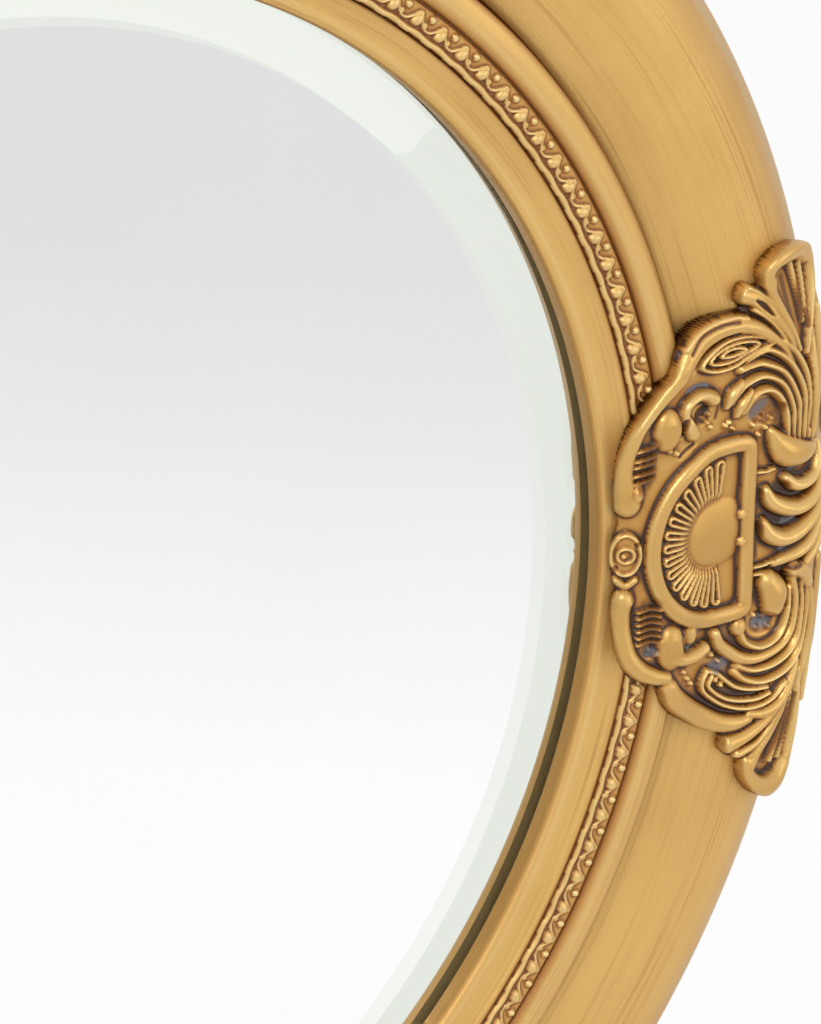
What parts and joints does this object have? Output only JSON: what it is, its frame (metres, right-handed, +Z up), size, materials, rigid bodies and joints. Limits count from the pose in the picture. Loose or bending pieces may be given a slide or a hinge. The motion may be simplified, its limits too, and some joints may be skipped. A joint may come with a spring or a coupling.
{
  "type": "round wall mirror",
  "caption": "Round gilded wall mirror: turned moulding with an embossed strip and cast scroll cartouches round flat bevelled glass, with a hung back.",
  "frame": {"origin": "centre of the moulding's back face, on the mirror's own axis", "axes": "+Z up the wall, -Y out of the glass into the room, +X to the right as seen from the front"},
  "size_m": [0.504, 0.035, 0.504],
  "materials": {
    "gilded_wood": "satin gilding on turned wood",
    "gilded_strip": "gilded pressed composition with dark toning",
    "gilded_casting": "gilded cast resin, burnished high points and dark toning in the hollows",
    "mirror_glass": "polished, silvered behind",
    "hardboard": "pressed fibre board, matt",
    "zinc_steel": "zinc plated steel",
    "rubber_pad": "moulded rubber, matt"
  },
  "bodies": {
    "frame": {"frame_moulding": "gilded_wood", "mirror_glass": "mirror_glass", "backing_board": "hardboard", "strip_right": "gilded_strip", "strip_top": "gilded_strip", "strip_left": "gilded_strip", "strip_bottom": "gilded_strip", "cartouche_right": "gilded_casting", "cartouche_top": "gilded_casting", "cartouche_left": "gilded_casting", "cartouche_bottom": "gilded_casting", "button_screw_1": "zinc_steel", "button_screw_2": "zinc_steel", "button_screw_3": "zinc_steel", "button_screw_4": "zinc_steel", "button_screw_5": "zinc_steel", "button_screw_6": "zinc_steel", "hanger_strap_right": "zinc_steel", "hanger_strap_left": "zinc_steel", "strap_screw_right_1": "zinc_steel", "strap_screw_right_2": "zinc_steel", "strap_screw_left_1": "zinc_steel", "strap_screw_left_2": "zinc_steel", "bumper_right": "rubber_pad", "bumper_left": "rubber_pad"},
    "button_1": {"turn_button_1": "zinc_steel"},
    "button_2": {"turn_button_2": "zinc_steel"},
    "button_3": {"turn_button_3": "zinc_steel"},
    "button_4": {"turn_button_4": "zinc_steel"},
    "button_5": {"turn_button_5": "zinc_steel"},
    "button_6": {"turn_button_6": "zinc_steel"},
    "ring_right": {"hanger_ring_right": "zinc_steel"},
    "ring_left": {"hanger_ring_left": "zinc_steel"}
  },
  "joints": [
    {"name": "button_1_swivel", "type": "hinge", "parent": "frame", "child": "button_1", "pos_m": [0.16558, -0.00875, 0.0956], "axis": [0, 1, 0], "range_deg": [-90, 90]},
    {"name": "button_2_swivel", "type": "hinge", "parent": "frame", "child": "button_2", "pos_m": [0, -0.00875, 0.1912], "axis": [0, 1, 0], "range_deg": [-90, 90]},
    {"name": "button_3_swivel", "type": "hinge", "parent": "frame", "child": "button_3", "pos_m": [-0.16558, -0.00875, 0.0956], "axis": [0, 1, 0], "range_deg": [-90, 90]},
    {"name": "button_4_swivel", "type": "hinge", "parent": "frame", "child": "button_4", "pos_m": [-0.16558, -0.00875, -0.0956], "axis": [0, 1, 0], "range_deg": [-90, 90]},
    {"name": "button_5_swivel", "type": "hinge", "parent": "frame", "child": "button_5", "pos_m": [0, -0.00875, -0.1912], "axis": [0, 1, 0], "range_deg": [-90, 90]},
    {"name": "button_6_swivel", "type": "hinge", "parent": "frame", "child": "button_6", "pos_m": [0.16558, -0.00875, -0.0956], "axis": [0, 1, 0], "range_deg": [-90, 90]},
    {"name": "ring_right_swing", "type": "hinge", "parent": "frame", "child": "ring_right", "pos_m": [0.10892, 0.0026, 0.20484], "axis": [1, 0, 0], "range_deg": [0, 180]},
    {"name": "ring_left_swing", "type": "hinge", "parent": "frame", "child": "ring_left", "pos_m": [-0.10892, 0.0026, 0.20484], "axis": [1, 0, 0], "range_deg": [0, 180]}
  ]
}
